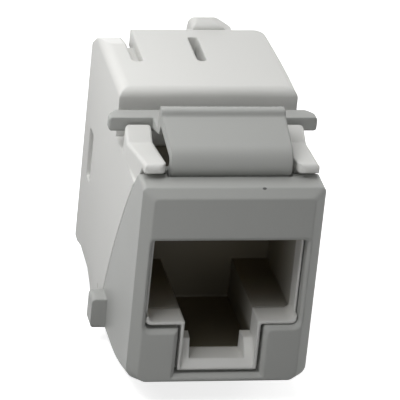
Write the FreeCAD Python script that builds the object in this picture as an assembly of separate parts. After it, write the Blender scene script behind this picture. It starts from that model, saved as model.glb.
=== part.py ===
"""Keystone jack: a grey hood with a press latch, a white core, contact wires, board and wire cap.

Work frame: X to the right, Y back from the front face, Z up from the front face's bottom edge.
The finished pieces are then moved so that the origin is the bottom centre of the whole jack.
"""
import FreeCAD, Part
import os
from math import cos, radians, sin, tan

# ---- hood: the grey moulding with the front face ----
HALF_WIDTH = 7.25          # hood and core sides, flush with each other
FACE_BEVEL = 0.85          # width of the bevel round the front face
FACE_BEVEL_DEPTH = 0.6
HOOD_TOP = 16.8            # height of the hood's top surface
TOP_BEVEL = 0.7            # height that the top bevel takes off the front face
HOOD_TOP_LENGTH = 3.0      # from the front face to the top edge of the cheeks
CHEEK = 0.6                # thickness of the hood's side walls
CHEEK_BOW = 0.65           # how far the cheek's slanted rear edge bows out from a straight line
HEEL_Y = 12.0              # lowest point of the slanted rear edge
HEEL_Z = 1.3
BELLY = 0.8                # how far the underside drops below the front face
BELLY_Y = 7.0              # where the underside becomes flat
BELLY_EDGE = 0.4           # radius of the underside's long edges
FRONT_WALL = 1.3
HOOD_ROOF = 1.2
SHELF_END = 4.35           # the roof's middle part runs further back, below the latch
SHELF_GAP = 0.12           # beside the arms
HOOD_FLOOR = 0.35          # height of the hood's inner floor
CORNER_LOW = 1.0           # radius of the front face's lower corners
CORNER_HIGH = 0.35

# ---- port: the opening for the plug ----
PORT_SIDE = 1.1            # front wall beside the window
PORT_LOW = 4.8
LEFT_SILL_DROP = 0.25      # the window's left sill lies this much lower
PORT_HIGH = 12.38
TAB_HALF = 3.45            # slot for the plug's tab, below the window
TAB_LOW = 0.55
PORT_BEVEL = 0.3
NOSE_GAP = 0.1             # between the window and the core's nose
NOSE_TAB_GAP = 0.27        # the same round the tab slot
NOSE_RECESS = 0.4          # front of the nose's lower part, behind the front face
BROW_RECESS = 1.0          # the same beside and above the plug
NOSE_WALL = 0.18           # the nose's thin wall beside the plug
CAVITY_LOW = 5.12          # clear size that the plug slides in
CAVITY_HIGH = 12.14
PORT_CORNER = 0.5          # radius of the window's lower outer corners
TAB_WALL = 0.24            # the nose's wall beside the tab
STOP_TOP = 3.1             # the two stops that the plug's tab hooks behind
STOP_GAP_HALF = 2.08
STOP_FLARE = 0.18          # the stops stand this much further apart at the front
STOP_LEAN = 1.1            # how far the stops' front leans back over its height
TAB_FLOOR = 1.62
TAB_END = 11.0

# ---- panel stops and fixed hook, on the hood ----
STOP_HALF = 8.45           # half the width over the panel stops
STOP_Y = 9.84              # front faces of the panel stops, against the panel's back
STOP_THICK = 1.75
WING_LOW = -0.48
WING_HIGH = 2.02
HOOK_HALF = 5.0
HOOK_Y = 6.6
HOOK_LENGTH = 1.7
HOOK_DROP = 1.25           # below the underside

# ---- core: the white moulding ----
FIT_GAP = 0.08             # between the core and the hood round it
CORE_ROOF_GAP = 0.1        # between the core's roof and the hood's roof
REAR_FACE = 12.28          # front face of the taller rear block
REAR_RISE = 2.85           # top of the rear block above the hood's top
REAR_END = 24.7
TOP_EDGE_RADIUS = 0.7
SIDE_EDGE_RADIUS = 0.85
TOP_WALL = 1.5
SIDE_WALL = 1.15
CHAMBER_START = 12.6       # front of the rear chamber
CHAMBER_FLOOR = 1.2
DRAW_IN_Y = 13.5           # from here back the right side draws in
DRAW_IN_END = 6.47         # where the right side ends at the rear
REAR_CORNER = 1.3          # plan radius of the top's rear right corner
TONGUE_END = 23.65
NOTCH_START = 17.4
LEFT_NOTCH_X = -4.87
LEFT_NOTCH_WIDTH = 0.9
NOTCH_FLOOR = 0.9          # depth of the left notch's floor below the top
NOTCH_FLOOR_END = 21.9
SLOT_X = 0.42              # closed slot beside the cap's lug
SLOT_WIDTH = 0.8
SLOT_START = 17.5
SLOT_END = 22.0
WINDOW_Y = 20.9
WINDOW_LENGTH = 1.5
WINDOW_LOW = 6.9
WINDOW_HIGH = 11.3
KEEL = 0.25                # extra depth of the core's underside behind the hood

# ---- arms: the core's two side arms over the hood ----
ARM_INNER = 5.15
ARM_TIP_Y = 2.0
ARM_TIP_RISE = 1.25        # top of the arm's tip above the hood's top
ARM_GAP = 0.45             # between an arm's tip and the hood's top
ARM_DIP_Y = 8.1
ARM_DIP_RISE = 0.2
ARM_REAR_Y = 9.55
ARM_REAR_RISE = 1.05
ARM_TIP_INSET = 0.35       # how much the arm's outer side leans in towards its tip
ARM_EDGE = 0.25            # radius along the arm's upper outer edge

# ---- latch: the grey press latch ----
LATCH_THICK = 0.9
LATCH_FOOT = 2.62          # front of the latch where it leaves the hood
LATCH_FRONT = 1.55         # where its leaning front and its slope would meet
LATCH_BEND_RISE = 1.8      # heights of the latch above the hood's top
LATCH_BEND_RADIUS = 1.35
LATCH_BASE_HALF = 4.82
LATCH_RIDGE_HALF = 4.95
RIDGE_Y = 6.75
RIDGE_FOOT_RISE = 3.15
RIDGE_RISE = 3.6
RIDGE_LENGTH = 1.0
BAR_RISE = 1.5
BAR_HEIGHT = 1.12
BAR_LENGTH = 1.46
BAR_SWEEP = 0.77           # how much shorter the bar's rear edge is at each end
ROOT_DEPTH = 0.25          # bead centre below the hood's top
ROOT_GAP = 0.08

# ---- contacts ----
WAYS = 8
PITCH = 1.02
WIRE_WIDTH = 0.38
WIRE_THICK = 0.32
WIRE_GAP = 0.04
WIRE_RUN_DROP = 0.3        # contacts' straight runs below the channel's top
WIRE_FRONT = 3.9
WIRE_BEND = 0.75
WIRE_FREE = 6.3            # length of the free beam that meets the plug
WIRE_SLOPE = 22.0          # degrees that the free beam slopes down
CHANNEL_INSET = 1.3        # channel for the wires above the cavity, narrower than the cavity
CHANNEL_DROP = 1.3         # its top below the core's roof

# ---- contact carrier: the black insert that lines the plug space behind the core's nose ----
INSERT_START = 2.75
LINER = 0.35
CARRIER_GAP = 0.05
RIB_WIDTH = 0.3

# ---- circuit board ----
BOARD_Y = 12.9
BOARD_THICK = 1.2
BOARD_GAP = 0.1

# ---- terminal block and terminals ----
BLOCK_LENGTH = 6.2
BLOCK_LOW = 2.0
BLOCK_DROP = 1.95          # top of the block below the chamber's top
TROUGH_HALF = 2.6          # half the height of the middle trough for the cable's pairs
TROUGH_WALL = 0.9
BLOCK_POST = 3.6           # length of the posts between the wire slots
COLUMNS = 4
COLUMN_PITCH = 2.95
ROW_INSET = 1.5            # terminal rows from the block's lower and upper side
WIRE_SLOT = 1.1
FORK_WIDTH = 1.9
FORK_THICK = 0.4
FORK_LENGTH = 5.4
FORK_SLIT = 0.36
FORK_SLIT_LENGTH = 2.9
FORK_GAP = 0.04
PIN_RADIUS = 0.24

# ---- wire cap ----
CAP_START = 20.8
CAP_LENGTH = 4.0
CAP_GAP = 0.12
CAP_DROP = 2.45            # top of the cap below the chamber's top
CAP_LOW = 1.5
CAP_WALL = 1.0
CABLE_RADIUS = 3.2
CABLE_RIM = 0.8
CABLE_BORE = 2.4           # length of the cable bore's wall
FIN_WIDTH = 0.8
FIN_LENGTH = 1.5
FIN_HEIGHT = 1.2
LUG_LEFT = 0.65
LUG_RIGHT = 4.55
LUG_RISE = 0.47            # above the rear block's top
LUG_LENGTH = 2.1

# ---- values that follow ----
PORT_HALF = HALF_WIDTH - PORT_SIDE
CAVITY_HALF = PORT_HALF - NOSE_GAP - NOSE_WALL
CHANNEL_HALF = CAVITY_HALF - CHANNEL_INSET
TAB_CLEAR_HALF = TAB_HALF - NOSE_TAB_GAP - TAB_WALL
ROOF = HOOD_TOP - HOOD_ROOF - CORE_ROOF_GAP
CHANNEL_TOP = ROOF - CHANNEL_DROP
WIRE_RUN_Z = CHANNEL_TOP - WIRE_RUN_DROP
REAR_TOP = HOOD_TOP + REAR_RISE
ARM_TIP_TOP = HOOD_TOP + ARM_TIP_RISE
ARM_DIP_TOP = HOOD_TOP + ARM_DIP_RISE
ARM_REAR_TOP = HOOD_TOP + ARM_REAR_RISE
LATCH_BEND_Z = HOOD_TOP + LATCH_BEND_RISE
RIDGE_FOOT = HOOD_TOP + RIDGE_FOOT_RISE
RIDGE_TOP = HOOD_TOP + RIDGE_RISE
BAR_HIGH = HOOD_TOP + BAR_RISE
BAR_LOW = BAR_HIGH - BAR_HEIGHT
CORE_FRONT_HALF = HALF_WIDTH - CHEEK - FIT_GAP
CORE_FRONT = FRONT_WALL + FIT_GAP
CHAMBER_HALF = HALF_WIDTH - SIDE_WALL
CHAMBER_TOP = REAR_TOP - TOP_WALL
ROOT_Y = LATCH_FOOT + LATCH_THICK / 2
ROOT_Z = HOOD_TOP - ROOT_DEPTH
ROOT_RADIUS = LATCH_THICK / 2
BLOCK_HIGH = CHAMBER_TOP - BLOCK_DROP
BLOCK_MIDDLE = (BLOCK_LOW + BLOCK_HIGH) / 2
CAP_HIGH = CHAMBER_TOP - CAP_DROP
BLOCK_START = BOARD_Y + BOARD_THICK + FIT_GAP
BLOCK_END = BLOCK_START + BLOCK_LENGTH
POST_START = BLOCK_END - BLOCK_POST
CAP_END = CAP_START + CAP_LENGTH
LEFT_SHOULDER = LEFT_NOTCH_X - LEFT_NOTCH_WIDTH / 2
CORE_SPACE = LINER + CARRIER_GAP
LUG_TOP = REAR_TOP + LUG_RISE
LUG_START = TONGUE_END + CAP_GAP
LUG_END = LUG_START + LUG_LENGTH
BASE = -BELLY - HOOK_DROP
FAR = 40.0                 # reach of cutting blocks beyond the jack


def vec(x, y, z):
    """Point or direction in the work frame."""
    return FreeCAD.Vector(x, y, z)


def block(x0, x1, y0, y1, z0, z1):
    """Box between two corners."""
    return Part.makeBox(x1 - x0, y1 - y0, z1 - z0, vec(x0, y0, z0))


def both_sides(shape):
    """The shape and its mirror image across the jack's middle plane, as one."""
    return shape.fuse(shape.mirror(vec(0, 0, 0), vec(1, 0, 0)))


def rounded_wire(corners, lift):
    """Closed outline through corners (a, b, radius); lift turns a flat point into one in space."""
    flat = [vec(a, b, 0) for a, b, _ in corners]
    points = []
    for index, (_, _, radius) in enumerate(corners):
        here = flat[index]
        back = (flat[index - 1] - here).normalize()
        ahead = (flat[(index + 1) % len(flat)] - here).normalize()
        half_angle = back.getAngle(ahead) / 2
        reach = radius / tan(half_angle)
        middle = here + (back + ahead).normalize() * (radius / sin(half_angle) - radius) if radius else here
        points.append((here + back * reach, middle, here + ahead * reach, radius))
    edges = []
    for index, (start, middle, end, radius) in enumerate(points):
        if radius:
            edges.append(Part.Arc(lift(start), lift(middle), lift(end)).toShape())
        edges.append(Part.LineSegment(lift(end), lift(points[(index + 1) % len(points)][0])).toShape())
    return Part.Wire(edges)


def prism_x(corners, x0, x1):
    """Side profile of (y, z, radius) corners, drawn out from x0 to x1."""
    wire = rounded_wire(corners, lambda p: vec(x0, p.x, p.y))
    return Part.Face(wire).extrude(vec(x1 - x0, 0, 0))


def prism_y(corners, y0, y1):
    """Front outline of (x, z, radius) corners, drawn out from y0 to y1."""
    wire = rounded_wire(corners, lambda p: vec(p.x, y0, p.y))
    return Part.Face(wire).extrude(vec(0, y1 - y0, 0))


def prism_z(corners, z0, z1):
    """Plan outline of (x, y, radius) corners, drawn out from z0 to z1."""
    wire = rounded_wire(corners, lambda p: vec(p.x, p.y, z0))
    return Part.Face(wire).extrude(vec(0, 0, z1 - z0))


def taper_y(near, y0, far, y1):
    """Solid between two front outlines of (x, z, radius) corners at y0 and y1."""
    wires = [rounded_wire(near, lambda p: vec(p.x, y0, p.y)), rounded_wire(far, lambda p: vec(p.x, y1, p.y))]
    return Part.makeLoft(wires, True, True)


def box_outline(half, low, high, low_radius, high_radius):
    """Upright rectangle centred on the middle plane, with its own radii below and above."""
    return [(-half, low, low_radius), (half, low, low_radius),
            (half, high, high_radius), (-half, high, high_radius)]


def tee_outline(half, low, high, tab_half, tab_low, corner, drop=0):
    """Plug opening: a wide window above the narrower tab slot; drop lowers its left sill."""
    return [(-tab_half, tab_low, 0), (tab_half, tab_low, 0), (tab_half, low, corner / 2),
            (half, low, corner), (half, high, corner / 2), (-half, high, corner / 2),
            (-half, low - drop, corner), (-tab_half, low - drop, 0)]


def insert_outline(grow):
    """Front outline of the plug space behind the stops, with the wires' channel above; grow widens it."""
    right = [(TAB_CLEAR_HALF + grow, TAB_FLOOR - grow), (TAB_CLEAR_HALF + grow, CAVITY_LOW - grow),
             (CAVITY_HALF + grow, CAVITY_LOW - grow), (CAVITY_HALF + grow, CAVITY_HIGH + grow),
             (CHANNEL_HALF + grow, CAVITY_HIGH + grow), (CHANNEL_HALF + grow, CHANNEL_TOP + grow)]
    left = [(-x, z) for x, z in reversed(right)]
    return [(x, z, 0) for x, z in right + left]


def round_end_slot(x, width, y0, z0, z1):
    """Cutter for a notch that is open to the rear and has a round front end."""
    radius = width / 2
    end = Part.makeCylinder(radius, z1 - z0, vec(x, y0 + radius, z0), vec(0, 0, 1))
    return end.fuse(block(x - radius, x + radius, y0 + radius, y0 + FAR, z0, z1))


def way_positions(count, pitch):
    """Even places along X, centred on the middle plane."""
    return [(index - (count - 1) / 2) * pitch for index in range(count)]


# ---- hood ----
def hood_side(grow, x0, x1):
    """Hood's side shape from x0 to x1: flat top, bowed slanting rear edge, belly; grow widens it."""
    top = vec(x0, HOOD_TOP_LENGTH + grow, HOOD_TOP)
    heel = vec(x0, HEEL_Y + grow, HEEL_Z)
    slope = heel - top
    outward = vec(0, -slope.z, slope.y).normalize()
    bow = (top + heel) * 0.5 + outward * CHEEK_BOW
    heel_low = vec(x0, HEEL_Y + grow, -BELLY)
    belly = vec(x0, BELLY_Y, -BELLY)
    chin = vec(x0, FACE_BEVEL_DEPTH, 0)
    sag = (belly + chin) * 0.5 + vec(0, 0, -BELLY / 4)
    brow = vec(x0, FACE_BEVEL_DEPTH, HOOD_TOP)
    edges = [Part.LineSegment(brow, top).toShape(), Part.Arc(top, bow, heel).toShape(),
             Part.LineSegment(heel, heel_low).toShape(), Part.LineSegment(heel_low, belly).toShape(),
             Part.Arc(belly, sag, chin).toShape(), Part.LineSegment(chin, brow).toShape()]
    return Part.Face(Part.Wire(edges)).extrude(vec(x1 - x0, 0, 0))


def hood_shell():
    """Hood's outer block: the side shape with rounded long edges, and the bevelled front face."""
    body = hood_side(0, -HALF_WIDTH, HALF_WIDTH)
    chin = [edge for edge in body.Edges if edge.BoundBox.YLength > 1 and edge.BoundBox.YMax < BELLY_Y + 0.1
            and edge.BoundBox.ZMax < HOOD_FLOOR]
    body = body.makeFillet(BELLY_EDGE, CORNER_LOW, chin)
    section = box_outline(HALF_WIDTH, -2 * BELLY, HOOD_TOP, 0, CORNER_HIGH)
    body = body.common(prism_y(section, 0, HEEL_Y + 1))
    face = box_outline(HALF_WIDTH - FACE_BEVEL, 0, HOOD_TOP - TOP_BEVEL, CORNER_LOW * 0.7, CORNER_HIGH)
    edge = box_outline(HALF_WIDTH, 0, HOOD_TOP, CORNER_LOW, CORNER_HIGH)
    front = taper_y(face, 0, edge, FACE_BEVEL_DEPTH)
    collar = prism_y(edge, FACE_BEVEL_DEPTH, FRONT_WALL)
    return body.fuse(front).fuse(collar)


def wing():
    """Right-hand panel stop: a short ear that stands out from the hood's side."""
    thick_end = STOP_Y + STOP_THICK
    outline = [(HALF_WIDTH - CHEEK, WING_LOW, 0), (STOP_HALF, WING_LOW, 0.25),
               (STOP_HALF, WING_HIGH, 0.3), (HALF_WIDTH - CHEEK, WING_HIGH, 0)]
    return prism_y(outline, STOP_Y, thick_end)


def fixed_hook():
    """Hook under the hood that catches the panel's lower edge."""
    heel = HOOK_Y + HOOK_LENGTH
    corners = [(HOOK_Y - 0.9, -BELLY + 0.3, 0), (HOOK_Y, BASE, 0.3),
               (heel - 0.3, BASE, 0.3), (heel, -BELLY + 0.3, 0)]
    return prism_x(corners, -HOOK_HALF, HOOK_HALF)


def front_housing():
    """Grey hood with the port window, panel stops, fixed hook and the groove for the latch's root."""
    body = hood_shell().fuse(both_sides(wing())).fuse(fixed_hook())
    shelf_half = ARM_INNER - SHELF_GAP
    shelf_low = HOOD_TOP - HOOD_ROOF
    body = body.fuse(block(-shelf_half, shelf_half, HOOD_TOP_LENGTH / 2, SHELF_END, shelf_low, HOOD_TOP))
    inside = CORE_FRONT_HALF + FIT_GAP
    body = body.cut(block(-inside, inside, FRONT_WALL, FAR, HOOD_FLOOR, HOOD_TOP - HOOD_ROOF))
    window = tee_outline(PORT_HALF, PORT_LOW, PORT_HIGH, TAB_HALF, TAB_LOW, PORT_CORNER, LEFT_SILL_DROP)
    mouth = tee_outline(PORT_HALF + PORT_BEVEL, PORT_LOW - PORT_BEVEL, PORT_HIGH + PORT_BEVEL,
                        TAB_HALF + PORT_BEVEL, TAB_LOW - PORT_BEVEL, PORT_CORNER + PORT_BEVEL, LEFT_SILL_DROP)
    body = body.cut(prism_y(window, -1, FRONT_WALL + 1))
    body = body.cut(taper_y(mouth, 0, window, PORT_BEVEL))
    groove_radius = ROOT_RADIUS + ROOT_GAP
    groove_half = LATCH_BASE_HALF + ROOT_GAP + FIT_GAP
    groove_end = vec(-groove_half, ROOT_Y, ROOT_Z)
    groove = Part.makeCylinder(groove_radius, 2 * groove_half, groove_end, vec(1, 0, 0))
    groove = groove.fuse(block(-groove_half, groove_half, ROOT_Y - groove_radius, ROOT_Y + groove_radius,
                               ROOT_Z, HOOD_TOP + 1))
    return body.cut(groove)


# ---- latch ----
def latch_plate():
    """Bent plate: leans forward from its root, bends over, slopes up to the ridge and drops to the web."""
    ridge_end = RIDGE_Y + RIDGE_LENGTH
    web_low = BAR_HIGH - LATCH_THICK
    bar_middle = STOP_Y + BAR_LENGTH / 2
    slope = (RIDGE_FOOT - LATCH_BEND_Z) / (RIDGE_Y - LATCH_FRONT)
    foot_top = HOOD_TOP + FIT_GAP
    lean = (LATCH_FOOT - LATCH_FRONT) / (LATCH_BEND_Z - foot_top)
    under = LATCH_THICK * (1 + slope * slope) ** 0.5
    ridge_inner = ridge_end - LATCH_THICK
    inner_front = LATCH_FRONT + LATCH_THICK * (1 + lean * lean) ** 0.5
    inner_y = (inner_front + under * lean + slope * lean * LATCH_FRONT) / (1 + slope * lean)
    inner_z = LATCH_BEND_Z + slope * (inner_y - LATCH_FRONT) - under
    corners = [(LATCH_FOOT, ROOT_Z, 0), (LATCH_FOOT, foot_top, 0),
               (LATCH_FRONT, LATCH_BEND_Z, LATCH_BEND_RADIUS), (RIDGE_Y, RIDGE_FOOT, 0.2),
               (RIDGE_Y + 0.15, RIDGE_TOP, 0.25), (ridge_end, RIDGE_TOP, 0.25),
               (ridge_end, BAR_HIGH, 0.2), (bar_middle, BAR_HIGH, 0), (bar_middle, web_low, 0),
               (STOP_Y, web_low, 0), (ridge_inner + 0.3, web_low + 0.8, 0.3),
               (ridge_inner, LATCH_BEND_Z + slope * (ridge_inner - LATCH_FRONT) - under, 0.2),
               (inner_y, inner_z, LATCH_BEND_RADIUS - LATCH_THICK), (LATCH_FOOT + LATCH_THICK, foot_top, 0),
               (LATCH_FOOT + LATCH_THICK, ROOT_Z, 0)]
    plate = prism_x(corners, -LATCH_RIDGE_HALF, LATCH_RIDGE_HALF)
    plan = [(-LATCH_BASE_HALF, LATCH_FRONT - 1, 0), (LATCH_BASE_HALF, LATCH_FRONT - 1, 0),
            (LATCH_BASE_HALF, LATCH_FOOT, 0), (LATCH_RIDGE_HALF, RIDGE_Y, 0),
            (LATCH_RIDGE_HALF, bar_middle, 0), (-LATCH_RIDGE_HALF, bar_middle, 0),
            (-LATCH_RIDGE_HALF, RIDGE_Y, 0), (-LATCH_BASE_HALF, LATCH_FOOT, 0)]
    return plate.common(prism_z(plan, 0, FAR))


def latch_bar():
    """Cross bar behind the ridge: its front face stops against the panel, its ends are swept back."""
    rear_half = STOP_HALF - BAR_SWEEP
    plan = [(-STOP_HALF, STOP_Y, 0.2), (STOP_HALF, STOP_Y, 0.2), (STOP_HALF, STOP_Y + BAR_LENGTH * 0.45, 0.3),
            (rear_half, STOP_Y + BAR_LENGTH, 0.3), (-rear_half, STOP_Y + BAR_LENGTH, 0.3),
            (-STOP_HALF, STOP_Y + BAR_LENGTH * 0.45, 0.3)]
    bar = prism_z(plan, BAR_LOW, BAR_HIGH)
    return bar.common(prism_y(box_outline(STOP_HALF, BAR_LOW, BAR_HIGH, 0.3, 0.3), 0, FAR))


def latch_arm():
    """Grey press latch with its root bead, plate, ridge and cross bar."""
    bead_end = vec(-LATCH_BASE_HALF, ROOT_Y, ROOT_Z)
    bead = Part.makeCylinder(ROOT_RADIUS, 2 * LATCH_BASE_HALF, bead_end, vec(1, 0, 0))
    return latch_plate().fuse(bead).fuse(latch_bar())


# ---- core ----
def core_side(x0, x1, falling):
    """Core's side shape; falling gives the strips whose top drops towards the rear."""
    keel = -BELLY - KEEL
    keel_end = 16.7
    corners = [(HEEL_Y, -BELLY, 0), (keel_end, keel, 0.3), (keel_end + 0.5, keel + 0.6, 0.3),
               (keel_end + 2.0, 0.27, 0.8), (REAR_END - 2.5, 0.5, 0.5), (REAR_END - 1.0, 0.12, 0.2),
               (REAR_END, 0.2, 0.15)]
    if falling:
        corners += [(REAR_END, 17.9, 0.5), (REAR_END - 1.8, 19.2, 0.6), (REAR_END - 3.9, REAR_TOP, 0.8)]
    else:
        corners += [(REAR_END, CHAMBER_TOP - 1, 0), (TONGUE_END, CHAMBER_TOP - 1, 0),
                    (TONGUE_END, REAR_TOP, 0.2)]
    corners += [(REAR_FACE, REAR_TOP, TOP_EDGE_RADIUS), (REAR_FACE, ROOF, 0),
                (HOOD_TOP_LENGTH - 0.5, ROOF, 0)]
    return prism_x(corners, x0, x1)


def arm_outline(outer, top):
    """Front outline of the right-hand arm at one place along it, rounded at the top outer edge."""
    return [(ARM_INNER, ROOF - 1, 0), (outer, ROOF - 1, 0), (outer, top, ARM_EDGE), (ARM_INNER, top, 0.12)]


def arm():
    """Right-hand arm: dips behind its middle and rises to a rounded tip over the hood."""
    tip = arm_outline(HALF_WIDTH - ARM_TIP_INSET, ARM_TIP_TOP)
    dip = arm_outline(HALF_WIDTH, ARM_DIP_TOP)
    body = taper_y(tip, ARM_TIP_Y, dip, ARM_DIP_Y)
    body = body.fuse(taper_y(dip, ARM_DIP_Y, arm_outline(HALF_WIDTH, ARM_REAR_TOP), ARM_REAR_Y))
    profile = [(ARM_TIP_Y, HOOD_TOP + ARM_GAP, 0.25), (ARM_TIP_Y, ARM_TIP_TOP, 0.4),
               (ARM_REAR_Y, ARM_TIP_TOP, 0), (ARM_REAR_Y, ROOF - 1, 0), (HOOD_TOP_LENGTH + 1.6, ROOF - 1, 0),
               (HOOD_TOP_LENGTH + FIT_GAP, HOOD_TOP + ARM_GAP, 0)]
    plan = [(ARM_INNER + 0.1, ARM_TIP_Y, 0.7), (HALF_WIDTH, ARM_TIP_Y, 0.65),
            (HALF_WIDTH, ARM_REAR_Y, 0.4), (ARM_INNER, ARM_REAR_Y, 0.25), (ARM_INNER, ARM_DIP_Y, 0)]
    return body.common(prism_x(profile, ARM_INNER, HALF_WIDTH)).common(prism_z(plan, 0, FAR))


def core_outside():
    """Core's outer form: rear block, arms, and the narrower front part that the hood slides over."""
    outside = core_side(-HALF_WIDTH, 0, True).fuse(core_side(LEFT_SHOULDER, HALF_WIDTH, False))
    section = box_outline(HALF_WIDTH, -FAR, REAR_TOP, 0, SIDE_EDGE_RADIUS)
    outside = outside.common(prism_y(section, 0, FAR))
    outside = outside.cut(block(LEFT_SHOULDER, FAR, TONGUE_END, FAR, CHAMBER_TOP - 1, FAR))
    draw_in = [(-FAR, 0, 0), (HALF_WIDTH, 0, 0), (HALF_WIDTH, DRAW_IN_Y, 8), (DRAW_IN_END, REAR_END, 0),
               (-FAR, REAR_END, 0)]
    outside = outside.common(prism_z(draw_in, -FAR, FAR))
    slope = (HALF_WIDTH - DRAW_IN_END) / (REAR_END - DRAW_IN_Y)
    corner_x = DRAW_IN_END + slope * (REAR_END - TONGUE_END)
    lid = [(0, REAR_FACE, 0), (FAR, REAR_FACE, 0), (FAR, FAR, 0), (0, FAR, 0)]
    kept = [(0, REAR_FACE, 0), (HALF_WIDTH, REAR_FACE, 0), (HALF_WIDTH, DRAW_IN_Y, 0),
            (corner_x, TONGUE_END, REAR_CORNER), (0, TONGUE_END, 0)]
    outside = outside.cut(prism_z(lid, CHAMBER_TOP - 1, FAR).cut(prism_z(kept, 0, FAR)))
    outside = outside.fuse(both_sides(arm()))
    hood_space = hood_side(FIT_GAP, -FAR, FAR)
    hood_space = hood_space.fuse(block(-FAR, FAR, -1, HOOD_TOP_LENGTH, 0, HOOD_TOP + ARM_GAP))
    outside = outside.cut(hood_space)
    front_low = HOOD_FLOOR + FIT_GAP
    front = block(-CORE_FRONT_HALF, CORE_FRONT_HALF, CORE_FRONT, CHAMBER_START, front_low, ROOF)
    nose_outline = tee_outline(PORT_HALF - NOSE_GAP, PORT_LOW + NOSE_GAP, PORT_HIGH - NOSE_GAP,
                               TAB_HALF - NOSE_TAB_GAP, TAB_LOW + NOSE_TAB_GAP, PORT_CORNER - NOSE_GAP)
    nose = prism_y(nose_outline, NOSE_RECESS, CORE_FRONT + 0.5)
    nose = nose.cut(block(-FAR, FAR, -1, BROW_RECESS, CAVITY_LOW + PORT_CORNER, FAR))
    return outside.fuse(front).fuse(nose)


def plug_space():
    """Space inside the core: the nose's opening with its two stops, then the room for the black insert."""
    opening = box_outline(CAVITY_HALF, CAVITY_LOW, CAVITY_HIGH, PORT_CORNER, PORT_CORNER / 2)
    cavity = prism_y(opening, -1, INSERT_START)
    tab = block(-TAB_CLEAR_HALF, TAB_CLEAR_HALF, -1, INSERT_START, STOP_TOP, CAVITY_LOW + 1)
    stop_gap = block(-STOP_GAP_HALF, STOP_GAP_HALF, -1, INSERT_START, TAB_FLOOR, STOP_TOP + 1)
    wide = box_outline(STOP_GAP_HALF + STOP_FLARE, TAB_FLOOR, STOP_TOP + 1, 0, 0)
    narrow = box_outline(STOP_GAP_HALF, TAB_FLOOR, STOP_TOP + 1, 0, 0)
    stop_gap = stop_gap.fuse(taper_y(wide, NOSE_RECESS - STOP_FLARE, narrow, INSERT_START))
    foot = TAB_LOW + NOSE_TAB_GAP
    lean = [(-1, foot, 0), (NOSE_RECESS, foot, 0), (NOSE_RECESS + STOP_LEAN, STOP_TOP, 0), (-1, STOP_TOP, 0)]
    lean = prism_x(lean, -TAB_CLEAR_HALF, TAB_CLEAR_HALF)
    insert = prism_y(insert_outline(CORE_SPACE), INSERT_START - CARRIER_GAP, CHAMBER_START + 1)
    well_half = CHANNEL_HALF + CORE_SPACE
    well = block(-well_half, well_half, INSERT_START, REAR_FACE, CHANNEL_TOP, ROOF + 1)
    return cavity.fuse(tab).fuse(stop_gap).fuse(lean).fuse(insert).fuse(well)


def core_body():
    """White core with the plug cavity, the rear chamber, the top tongues and the side windows."""
    body = core_outside().cut(plug_space())
    body = body.cut(block(-CHAMBER_HALF, CHAMBER_HALF, CHAMBER_START, FAR, CHAMBER_FLOOR, CHAMBER_TOP))
    notch = round_end_slot(LEFT_NOTCH_X, LEFT_NOTCH_WIDTH, NOTCH_START, CHAMBER_TOP - 2, FAR)
    body = body.cut(notch.cut(block(-FAR, 0, 0, NOTCH_FLOOR_END, 0, REAR_TOP - NOTCH_FLOOR)))
    slot_left = SLOT_X - SLOT_WIDTH / 2
    slot_right = SLOT_X + SLOT_WIDTH / 2
    slot = [(slot_left, SLOT_START, SLOT_WIDTH / 2.1), (slot_right, SLOT_START, SLOT_WIDTH / 2.1),
            (slot_right, SLOT_END, 0.15), (slot_left, SLOT_END, 0.15)]
    body = body.cut(prism_z(slot, CHAMBER_TOP - 1, FAR))
    window = [(WINDOW_Y, WINDOW_LOW, 0.25), (WINDOW_Y + WINDOW_LENGTH, WINDOW_LOW, 0.25),
              (WINDOW_Y + WINDOW_LENGTH, WINDOW_HIGH, 0.25), (WINDOW_Y, WINDOW_HIGH, 0.25)]
    return body.cut(prism_x(window, -FAR, FAR))


# ---- contacts ----
def contact_wire(x):
    """Sprung strip: forward from the board under the carrier, round a tight bend, then down and back."""
    half = WIRE_THICK / 2
    slope = radians(WIRE_SLOPE)
    tail = BOARD_Y + BOARD_THICK
    bend_y = WIRE_FRONT + WIRE_BEND
    bend_z = WIRE_RUN_Z - WIRE_BEND
    tip_y = bend_y - WIRE_BEND * sin(slope) + WIRE_FREE * cos(slope)
    tip_z = bend_z - WIRE_BEND * cos(slope) - WIRE_FREE * sin(slope)
    outer = WIRE_BEND + half
    inner = WIRE_BEND - half
    corners = [(tail, WIRE_RUN_Z + half, 0), (bend_y - outer / tan(slope / 2), WIRE_RUN_Z + half, outer),
               (tip_y - half * sin(slope), tip_z - half * cos(slope), 0),
               (tip_y + half * sin(slope), tip_z + half * cos(slope), 0),
               (bend_y - inner / tan(slope / 2), WIRE_RUN_Z - half, inner), (tail, WIRE_RUN_Z - half, 0)]
    return prism_x(corners, x - WIRE_WIDTH / 2, x + WIRE_WIDTH / 2)


def wire_hole(x):
    """Cutter for the hole that a contact's straight run passes through."""
    half = WIRE_WIDTH / 2 + WIRE_GAP
    tall = WIRE_THICK / 2 + WIRE_GAP
    return block(x - half, x + half, 0, FAR, WIRE_RUN_Z - tall, WIRE_RUN_Z + tall)


def contact_carrier():
    """Black insert: lines the plug space behind the nose, closes its back and guides the wires."""
    back_end = BOARD_Y - CARRIER_GAP
    body = prism_y(insert_outline(LINER), INSERT_START, back_end)
    body = body.cut(prism_y(insert_outline(0), 0, TAB_END))
    rib_start = WIRE_FRONT + 2 * WIRE_BEND
    rib_low = WIRE_RUN_Z - WIRE_THICK
    for x in way_positions(WAYS + 1, PITCH):
        rib = block(x - RIB_WIDTH / 2, x + RIB_WIDTH / 2, rib_start, TAB_END, rib_low, CHANNEL_TOP)
        body = body.fuse(rib)
    for x in way_positions(WAYS, PITCH):
        body = body.cut(wire_hole(x))
    return body


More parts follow.
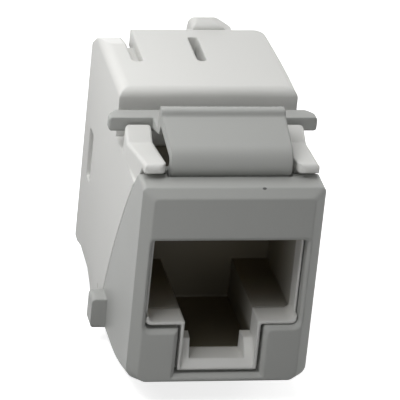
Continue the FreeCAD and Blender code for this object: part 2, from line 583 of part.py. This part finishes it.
# ---- circuit board ----
def terminal_places():
    """Middles of the terminals as (x, z), lower row first."""
    rows = [BLOCK_LOW + ROW_INSET, BLOCK_HIGH - ROW_INSET]
    return [(x, z) for z in rows for x in way_positions(COLUMNS, COLUMN_PITCH)]


def circuit_board():
    """Upright board across the rear chamber, with holes for the wires and the terminals' pins."""
    half = CHAMBER_HALF - BOARD_GAP
    low = CHAMBER_FLOOR + BOARD_GAP
    board = block(-half, half, BOARD_Y, BOARD_Y + BOARD_THICK, low, CHAMBER_TOP - BOARD_GAP)
    for x in way_positions(WAYS, PITCH):
        board = board.cut(wire_hole(x))
    for x, z in terminal_places():
        board = board.cut(Part.makeCylinder(PIN_RADIUS + WIRE_GAP, FAR, vec(x, 0, z), vec(0, 1, 0)))
    return board


# ---- terminal block and terminals ----
def idc_block():
    """White block of castellated posts: each slot takes one wire over one terminal."""
    half = CHAMBER_HALF - BOARD_GAP
    body = block(-half, half, BLOCK_START, BLOCK_END, BLOCK_LOW, BLOCK_HIGH)
    body = body.cut(block(-half + TROUGH_WALL, half - TROUGH_WALL, POST_START, FAR,
                          BLOCK_MIDDLE - TROUGH_HALF, BLOCK_MIDDLE + TROUGH_HALF))
    for x in way_positions(COLUMNS, COLUMN_PITCH):
        body = body.cut(block(x - WIRE_SLOT / 2, x + WIRE_SLOT / 2, POST_START, FAR, 0, FAR))
    for x, z in terminal_places():
        pocket_half = FORK_WIDTH / 2 + FORK_GAP
        pocket_thick = FORK_THICK / 2 + FORK_GAP
        body = body.cut(block(x - pocket_half, x + pocket_half, 0, FAR, z - pocket_thick, z + pocket_thick))
    return body


def idc_terminal(x, z):
    """Flat two-pronged terminal with a wire slit, and a round pin that goes through the board."""
    start = BLOCK_START + FORK_GAP
    end = start + FORK_LENGTH
    half = FORK_WIDTH / 2
    lead = FORK_SLIT
    slit = FORK_SLIT / 2
    plan = [(x - half * 0.6, start, 0), (x + half * 0.6, start, 0), (x + half, start + 1, 0.3),
            (x + half, end - 0.5, 0.2), (x + lead, end, 0), (x + slit, end - 0.6, 0),
            (x + slit, end - FORK_SLIT_LENGTH, 0), (x - slit, end - FORK_SLIT_LENGTH, 0),
            (x - slit, end - 0.6, 0), (x - lead, end, 0), (x - half, end - 0.5, 0.2),
            (x - half, start + 1, 0.3)]
    fork = prism_z(plan, z - FORK_THICK / 2, z + FORK_THICK / 2)
    pin = Part.makeCylinder(PIN_RADIUS, start - BOARD_Y + 0.3, vec(x, BOARD_Y, z), vec(0, 1, 0))
    return fork.fuse(pin)


# ---- wire cap ----
def cap_lug():
    """Thumb lug on the cap: a humped tab behind the rear block's top."""
    low = CAP_HIGH - CAP_WALL
    width = LUG_RIGHT - LUG_LEFT
    hump = [(LUG_LEFT, low, 0), (LUG_RIGHT, low, 0), (LUG_RIGHT, LUG_TOP - 1.35, 0.5),
            (LUG_LEFT + width * 0.55, LUG_TOP, 1.6), (LUG_LEFT + width * 0.04, LUG_TOP, 0.75)]
    side = [(LUG_START, low, 0), (LUG_START, LUG_TOP - 0.1, 0.5), (LUG_END - 0.6, LUG_TOP, 0.6),
            (LUG_END, LUG_TOP - 1.2, 0.6), (LUG_END, CAP_HIGH + 0.8, 0.5), (CAP_END, low, 0)]
    return prism_y(hump, LUG_START, LUG_END).common(prism_x(side, -FAR, FAR))


def wire_cap():
    """White rear cap: an open-fronted shell with the cable bore, wire-pressing fins and thumb lug."""
    half = CHAMBER_HALF - CAP_GAP
    outline = box_outline(half, CAP_LOW, CAP_HIGH, 0.5, 0.5)
    body = prism_y(outline, CAP_START, CAP_END)
    inside = box_outline(half - CAP_WALL, CAP_LOW + CAP_WALL, CAP_HIGH - CAP_WALL, 0.3, 0.3)
    body = body.cut(prism_y(inside, CAP_START - 1, CAP_END - CAP_WALL))
    fin_start = CAP_START - FIN_LENGTH
    fin_end = CAP_END - CAP_WALL / 2
    for x, z in terminal_places():
        toward = 1 if z < BLOCK_MIDDLE else -1
        near = z + toward * (FORK_THICK / 2 + CAP_GAP)
        far = near + toward * FIN_HEIGHT
        body = body.fuse(block(x - FIN_WIDTH / 2, x + FIN_WIDTH / 2, fin_start, fin_end,
                               min(near, far), max(near, far)))
    rim_start = vec(0, CAP_END - CABLE_BORE, BLOCK_MIDDLE)
    rim = Part.makeCylinder(CABLE_RADIUS + CABLE_RIM, CABLE_BORE, rim_start, vec(0, 1, 0))
    body = body.fuse(rim).fuse(cap_lug())
    bore_start = vec(0, CAP_START - FAR / 2, BLOCK_MIDDLE)
    return body.cut(Part.makeCylinder(CABLE_RADIUS, FAR, bore_start, vec(0, 1, 0)))


# ---- all pieces ----
def all_pieces():
    """Every piece of the jack by name, in the work frame."""
    pieces = {"front_housing": front_housing(), "latch_arm": latch_arm(), "core_body": core_body(),
              "contact_carrier": contact_carrier(), "circuit_board": circuit_board(),
              "idc_block": idc_block(), "wire_cap": wire_cap()}
    for number, x in enumerate(way_positions(WAYS, PITCH), start=1):
        pieces[f"contact_{number}"] = contact_wire(x)
    for number, (x, z) in enumerate(terminal_places(), start=1):
        pieces[f"idc_terminal_{number}"] = idc_terminal(x, z)
    return pieces


def export_pieces():
    """Move each piece to the finished frame, tidy its faces and write its file."""
    os.makedirs("parts", exist_ok=True)
    for name, shape in all_pieces().items():
        shape = shape.removeSplitter()
        shape.translate(vec(0, -LUG_END / 2, -BASE))
        solids = shape.Solids
        solid = solids[0] if len(solids) == 1 else Part.makeCompound(solids)
        solid.exportStep(f"parts/{name}.step")
        box = solid.BoundBox
        print(f"{name:18s} solids {len(solids)} valid {solid.isValid()} volume {solid.Volume:8.2f} "
              f"x {box.XMin:7.2f} {box.XMax:7.2f} y {box.YMin:7.2f} {box.YMax:7.2f} "
              f"z {box.ZMin:6.2f} {box.ZMax:6.2f}")


export_pieces()
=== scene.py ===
"""Looks of the keystone jack: moulded plastics, plated metal, floor, light and camera."""
from math import cos, radians, sin

import bpy
from mathutils import Matrix, Vector


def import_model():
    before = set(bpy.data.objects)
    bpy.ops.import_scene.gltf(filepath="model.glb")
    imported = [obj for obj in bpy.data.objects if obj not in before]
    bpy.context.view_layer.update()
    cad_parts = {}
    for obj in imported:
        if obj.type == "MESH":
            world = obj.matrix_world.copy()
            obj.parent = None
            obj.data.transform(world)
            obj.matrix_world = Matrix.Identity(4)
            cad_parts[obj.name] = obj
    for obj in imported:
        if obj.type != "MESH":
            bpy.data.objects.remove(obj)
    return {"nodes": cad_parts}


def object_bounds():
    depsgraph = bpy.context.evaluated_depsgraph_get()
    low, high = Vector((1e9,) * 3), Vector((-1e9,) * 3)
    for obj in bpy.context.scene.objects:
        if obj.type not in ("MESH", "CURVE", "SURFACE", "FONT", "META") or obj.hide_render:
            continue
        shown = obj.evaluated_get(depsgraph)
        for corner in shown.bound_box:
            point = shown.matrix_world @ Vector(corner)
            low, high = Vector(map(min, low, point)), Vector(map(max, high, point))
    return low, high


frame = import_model()
CAD_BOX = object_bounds()
MM = 0.001

# ---- camera, in degrees and millimetres ----
CAMERA_TURN = 13.65        # how far the camera stands round to the object's left
CAMERA_LIFT = 26.55
CAMERA_ROLL = 5.97
CAMERA_DISTANCE = 320.1
CAMERA_LENS = 369.15
AIM_SIDE = -1.97           # aim point: sideways from the middle, back from the face, up from the base
AIM_BACK = 3.66
AIM_UP = 16.24

# ---- studio: strengths of its light, and the floor ----
STUDIO_ALL = 0.05          # from all round
STUDIO_RIGHT = 0.06        # what the right side adds
STUDIO_BACK = 0.06         # what the back adds
FLOOR_REACH = 6.0          # from the middle to the floor's edges, in metres
FLOOR_DIM = 0.06           # the floor's tone in the light that it sends up to the object
FLOOR_PALE = 0.8           # its tone where it is seen
FLOOR_GLOW = 0.75          # its own light where it is seen

# ---- plastics and metals ----
GREY = (0.410, 0.416, 0.401)
WHITE = (0.720, 0.720, 0.697)
BLACK = (0.096, 0.086, 0.062)
PAINTED_MOUTH_LIGHT = (0.42, 0.41, 0.38)    # painted light on the black insert's front end at the port's mouth, fading with depth into the insert's black
MASK_GREEN = (0.012, 0.075, 0.035)
GOLD = (0.78, 0.55, 0.22)
TIN = (0.62, 0.62, 0.60)
SATIN = 0.25               # specular level of the mouldings
EDGE_ROUND = 0.28          # radius of the small moulded edges, in millimetres
GRAIN_HEIGHT = 0.02        # height of the spark-eroded grain, in millimetres
GRAIN_STRENGTH = 0.25
GRAIN_SCALE = 6000.0       # in waves per metre, as the next two
CLOUD_SCALE = 180.0
STREAK_SCALE = 2500.0
CLOUD_DETAIL = 3.0
CLOUD_CONTRAST = 0.5
CLOUD_DARK = 0.96          # share of the plastic's colour in the darkest cloud
CLOUD_PALE = 1.03          # and in the palest
CLOUD_ROUGHNESS = 0.18     # how much the roughness varies with the clouds
STREAK_DARK = 0.85         # share of the metal's colour in the darkest streak
STREAK_ROUGHNESS = 0.12    # how much the streaks add to the roughness

# ---- small marks, and the painted light on the insert's front end that fades with depth, placed from the middle, the face and the foot ----
SPECK = (0.03, 0.03, 0.03)
SPECK_AT = (2.31, 0.56, 18.81)
SPECK_REACH = (0.2, 0.16, 0.12)
SPECK_STRENGTH = 0.8
STAIN = (0.20, 0.18, 0.13)
STAIN_AT = (-7.25, 13.98, 3.15)
STAIN_REACH = (0.4, 0.2, 0.3)
STAIN_STRENGTH = 0.35
MARK_CORE = 0.3            # a mark is at its full strength up to this share of its squared reach
MOUTH_LIGHT_NEAR = 2.4          # the painted light fades out between these two depths
MOUTH_LIGHT_FAR = 9.0
MOUTH_LIGHT_FADE = 0.5          # power that makes the fade quick at its near end
MOUTH_LIGHT_BELOW = 4.6         # and begins between these two heights
MOUTH_LIGHT_ABOVE = 5.6


# ---- shader maths ----
class Socket:
    """A socket that can be used in Python expressions; each operator adds its Math node."""

    def __init__(self, tree, link):
        self.tree = tree
        self.link = link

    def math(self, operation, *others):
        return node(self.tree, "ShaderNodeMath", {"operation": operation}, dict(enumerate((self,) + others)))

    def __add__(self, other):
        return self.math("ADD", other)

    __radd__ = __add__

    def __mul__(self, other):
        return self.math("MULTIPLY", other)

    __rmul__ = __mul__

    def __sub__(self, other):
        return self.math("SUBTRACT", other)

    def __rsub__(self, other):
        return node(self.tree, "ShaderNodeMath", {"operation": "SUBTRACT"}, {0: other, 1: self})

    def power(self, other):
        return self.math("POWER", other)

    def ramp(self, low, high):
        """0 below low, 1 above high, smooth between."""
        return node(self.tree, "ShaderNodeMapRange", {"interpolation_type": "SMOOTHSTEP"},
                    {"Value": self, "From Min": low, "From Max": high})


def node(tree, kind, settings=None, inputs=None, output=0):
    """Add a node: settings first, then the values or links of its sockets; gives one output."""
    made = tree.nodes.new(kind)
    for name, value in (settings or {}).items():
        setattr(made, name, value)
    for name, value in (inputs or {}).items():
        if isinstance(value, Socket):
            tree.links.new(value.link, made.inputs[name])
        else:
            made.inputs[name].default_value = value
    return Socket(tree, made.outputs[output])


def mix_colour(tree, amount, first, second):
    """Colour between first and second by amount."""
    return node(tree, "ShaderNodeMix", {"data_type": "RGBA"},
                {"Factor": amount, "A": rgba(first), "B": rgba(second)}, output=2)


def rgba(colour):
    """Colour with full opacity; a socket stays as it is."""
    return colour if isinstance(colour, Socket) else (*colour, 1.0)


def scaled(colour, amount):
    """Colour made paler or darker by amount."""
    return tuple(channel * amount for channel in colour)


def material(name):
    """New material: its tree, its shader and its object coordinates."""
    made = bpy.data.materials.new(name)
    made.use_nodes = True
    tree = made.node_tree
    shader = tree.nodes["Principled BSDF"]
    place = node(tree, "ShaderNodeTexCoord", output=3)
    return made, tree, shader, place


def feed(tree, shader, name, value):
    """Set a socket of the shader to a value, or link a socket to it."""
    if isinstance(value, Socket):
        tree.links.new(value.link, shader.inputs[name])
    else:
        shader.inputs[name].default_value = value


def noise(tree, place, scale, detail=2.0):
    """Cloudy value of about 0.5, with scale in waves per metre."""
    return node(tree, "ShaderNodeTexNoise", {},
                {"Vector": place, "Scale": scale, "Detail": detail})


def along(tree, place, axis):
    """Object coordinate along one axis, in millimetres."""
    split = tree.nodes.new("ShaderNodeSeparateXYZ")
    tree.links.new(place.link, split.inputs["Vector"])
    return Socket(tree, split.outputs[axis]) * (1 / MM)


def spot(tree, place, middle, reaches):
    """1 inside a small soft-edged spot, 0 outside it: the squared distance along each axis, each as a share
    of the spot's reach along it, is added up and faded from MARK_CORE to 1."""
    total = 0.0
    for axis, at, reach in zip("XYZ", middle, reaches):
        total = ((along(tree, place, axis) - at) * (1 / reach)).power(2.0) + total
    return 1 - total.ramp(MARK_CORE, 1.0)


def moulded_plastic(name, colour, roughness=0.42, marks=(), front=None):
    """Spark-eroded satin plastic: faint cloudy tone, fine grain, softly rounded edges, small marks.

    front gives a paler colour painted on the piece's front end as painted light, the two depths between
    which it fades out and the two heights between which it begins; marks gives each mark's middle, reaches,
    strength and colour."""
    made, tree, shader, place = material(name)
    cloud = noise(tree, place, CLOUD_SCALE, CLOUD_DETAIL)
    fine = noise(tree, place, GRAIN_SCALE)
    tone = (cloud - 0.5) * CLOUD_CONTRAST + 0.5
    base = mix_colour(tree, tone, scaled(colour, CLOUD_DARK), scaled(colour, CLOUD_PALE))
    if front:
        pale, near, far, below, above = front
        # painted light on the front end, which fades with depth into the plastic's own colour
        fading = 1 - along(tree, place, "Y").ramp(near, far).power(MOUTH_LIGHT_FADE)
        base = mix_colour(tree, fading * along(tree, place, "Z").ramp(below, above), base, pale)
    for middle, reaches, strength, stain in marks:
        base = mix_colour(tree, spot(tree, place, middle, reaches) * strength, base, stain)
    feed(tree, shader, "Base Color", base)
    feed(tree, shader, "Roughness", (cloud - 0.5) * CLOUD_ROUGHNESS + roughness)
    feed(tree, shader, "Specular IOR Level", SATIN)
    soft_edge = node(tree, "ShaderNodeBevel", {"samples": 6}, {"Radius": EDGE_ROUND * MM})
    bump = node(tree, "ShaderNodeBump", {},
                {"Strength": GRAIN_STRENGTH, "Distance": GRAIN_HEIGHT * MM, "Height": fine,
                 "Normal": soft_edge})
    feed(tree, shader, "Normal", bump)
    return made


def plated_metal(name, colour, roughness):
    """Plated strip: smooth metal with faint rolling streaks."""
    made, tree, shader, place = material(name)
    streaks = noise(tree, place, STREAK_SCALE)
    feed(tree, shader, "Base Color", mix_colour(tree, streaks, scaled(colour, STREAK_DARK), colour))
    feed(tree, shader, "Metallic", 1.0)
    feed(tree, shader, "Roughness", streaks * STREAK_ROUGHNESS + roughness)
    return made


def mark(at, reaches, strength, colour):
    """Small mark at a place that is given from the middle, the face and the foot."""
    side, back, up = at
    return (side, face + back, foot + up), reaches, strength, colour


def dress(node_name, made):
    """Give a CAD node its material in all its slots."""
    mesh = frame["nodes"][node_name].data
    mesh.materials.clear()
    mesh.materials.append(made)


# ---- the pieces' materials ----
face = CAD_BOX[0].y / MM
foot = CAD_BOX[0].z / MM
speck = mark(SPECK_AT, SPECK_REACH, SPECK_STRENGTH, SPECK)
stain = mark(STAIN_AT, STAIN_REACH, STAIN_STRENGTH, STAIN)
# painted light at the port's mouth on the black insert, which fades with depth into its black
painted_mouth_light = (PAINTED_MOUTH_LIGHT, face + MOUTH_LIGHT_NEAR, face + MOUTH_LIGHT_FAR, foot + MOUTH_LIGHT_BELOW, foot + MOUTH_LIGHT_ABOVE)

grey = moulded_plastic("grey_moulding", GREY, roughness=0.5, marks=[speck])
white = moulded_plastic("white_moulding", WHITE, roughness=0.55, marks=[stain])
black = moulded_plastic("black_moulding", BLACK, front=painted_mouth_light)
gold = plated_metal("gold_plate", GOLD, roughness=0.22)
tin = plated_metal("tin_plate", TIN, roughness=0.3)
mask = moulded_plastic("solder_mask", MASK_GREEN, roughness=0.3)
FINISHES = {"front_housing": grey, "latch_arm": grey, "core_body": white, "wire_cap": white,
            "idc_block": white, "contact_carrier": black, "circuit_board": mask}
for name in frame["nodes"]:
    if name.startswith("contact_") and name != "contact_carrier":
        dress(name, gold)
    elif name.startswith("idc_terminal"):
        dress(name, tin)
    else:
        dress(name, FINISHES[name])


# ---- floor, light and camera ----
def seen_directly(tree):
    """1 for rays from the camera and for those that a gloss or a clear piece passes on, 0 for the rest."""
    rays = tree.nodes.new("ShaderNodeLightPath")
    seen = Socket(tree, rays.outputs["Is Camera Ray"])
    for name in ("Is Glossy Ray", "Is Transmission Ray"):
        seen = seen.math("MAXIMUM", Socket(tree, rays.outputs[name]))
    return seen


def finish_tree(tree, kind, made):
    """Link the last shader of a tree to a new output of the given kind."""
    output = tree.nodes.new(kind)
    tree.links.new(made.link, output.inputs["Surface"])


def floor():
    """Wide pale floor under the object, which keeps the object's soft shadow."""
    level = CAD_BOX[0].z
    corners = [(x * FLOOR_REACH, y * FLOOR_REACH, level) for x, y in ((-1, -1), (1, -1), (1, 1), (-1, 1))]
    mesh = bpy.data.meshes.new("floor")
    mesh.from_pydata(corners, [], [(0, 1, 2, 3)])
    plane = bpy.data.objects.new("floor", mesh)
    bpy.context.scene.collection.objects.link(plane)
    made = bpy.data.materials.new("floor")
    made.use_nodes = True
    tree = made.node_tree
    tree.nodes.clear()
    plain = node(tree, "ShaderNodeBsdfDiffuse", {}, {"Color": rgba((FLOOR_DIM,) * 3)})
    bright = node(tree, "ShaderNodeBsdfDiffuse", {}, {"Color": rgba((FLOOR_PALE,) * 3)})
    glow = node(tree, "ShaderNodeEmission", {}, {"Strength": FLOOR_GLOW})
    lit = node(tree, "ShaderNodeAddShader", {}, {0: bright, 1: glow})
    both = node(tree, "ShaderNodeMixShader", {}, {0: seen_directly(tree), 1: plain, 2: lit})
    finish_tree(tree, "ShaderNodeOutputMaterial", both)
    mesh.materials.append(made)


def world():
    """Studio round the object: white where it is seen, else dim, and brighter on the right and behind."""
    made = bpy.data.worlds.new("studio")
    bpy.context.scene.world = made
    made.use_nodes = True
    tree = made.node_tree
    tree.nodes.clear()
    toward = node(tree, "ShaderNodeTexCoord", output=0)
    split = tree.nodes.new("ShaderNodeSeparateXYZ")
    tree.links.new(toward.link, split.inputs["Vector"])
    studio = STUDIO_ALL
    for axis, strength in (("X", STUDIO_RIGHT), ("Y", STUDIO_BACK)):
        studio = Socket(tree, split.outputs[axis]).math("MAXIMUM", 0.0) * strength + studio
    seen = seen_directly(tree)
    sky = node(tree, "ShaderNodeBackground", {},
               {"Color": rgba((1, 1, 1)), "Strength": seen + (1 - seen) * studio})
    finish_tree(tree, "ShaderNodeOutputWorld", sky)


def lamp(name, turn, lift, distance, size, power):
    """Square lamp, aimed at the object from a turn (0 is in front, 90 to its left) and a lift.

    Both are in degrees, distance and size in metres and power in watts."""
    low, high = CAD_BOX
    aim = (low + high) / 2
    a, e = radians(turn), radians(lift)
    away = Vector((-sin(a) * cos(e), -cos(a) * cos(e), sin(e)))
    data = bpy.data.lights.new(name, "AREA")
    data.shape = "SQUARE"
    data.size = size
    data.energy = power
    light = bpy.data.objects.new(name, data)
    light.location = aim + away * distance
    light.rotation_mode = "QUATERNION"
    light.rotation_quaternion = away.to_track_quat("Z", "Y")
    bpy.context.scene.collection.objects.link(light)


def camera():
    """Long-lens camera: turned, lifted and rolled about its aim point."""
    low, high = CAD_BOX
    aim = Vector((AIM_SIDE * MM, low.y + AIM_BACK * MM, low.z + AIM_UP * MM))
    a, e, r = radians(CAMERA_TURN), radians(CAMERA_LIFT), radians(CAMERA_ROLL)
    ahead = Vector((sin(a) * cos(e), cos(a) * cos(e), -sin(e)))
    level = Vector((cos(a), -sin(a), 0))
    upright = level.cross(ahead)
    right = level * cos(r) + upright * sin(r)
    up = upright * cos(r) - level * sin(r)
    data = bpy.data.cameras.new("camera")
    data.sensor_width = 36.0
    data.lens = CAMERA_LENS
    data.clip_start = 0.01
    data.clip_end = 20.0
    seat = bpy.data.objects.new("camera", data)
    turn = Matrix((right, up, -ahead)).transposed().to_4x4()
    seat.matrix_world = Matrix.Translation(aim - ahead * CAMERA_DISTANCE * MM) @ turn
    bpy.context.scene.collection.objects.link(seat)
    bpy.context.scene.camera = seat


floor()
world()
lamp("left", turn=98.0, lift=34.0, distance=0.045, size=0.03, power=0.0074)
lamp("high_left", turn=52.0, lift=58.0, distance=0.10, size=0.05, power=0.0440)
lamp("low_left", turn=35.0, lift=-12.0, distance=0.050, size=0.03, power=0.0058)
lamp("low_front", turn=-8.0, lift=-4.0, distance=0.060, size=0.03, power=0.0045)
lamp("top", turn=180.0, lift=75.0, distance=0.12, size=0.07, power=0.0300)
lamp("right", turn=-92.0, lift=10.0, distance=0.10, size=0.05, power=0.0380)
lamp("back_right", turn=-115.0, lift=30.0, distance=0.12, size=0.06, power=0.0130)
lamp("behind", turn=178.0, lift=6.0, distance=0.12, size=0.06, power=0.0420)
camera()
bpy.context.scene.view_settings.view_transform = "Standard"
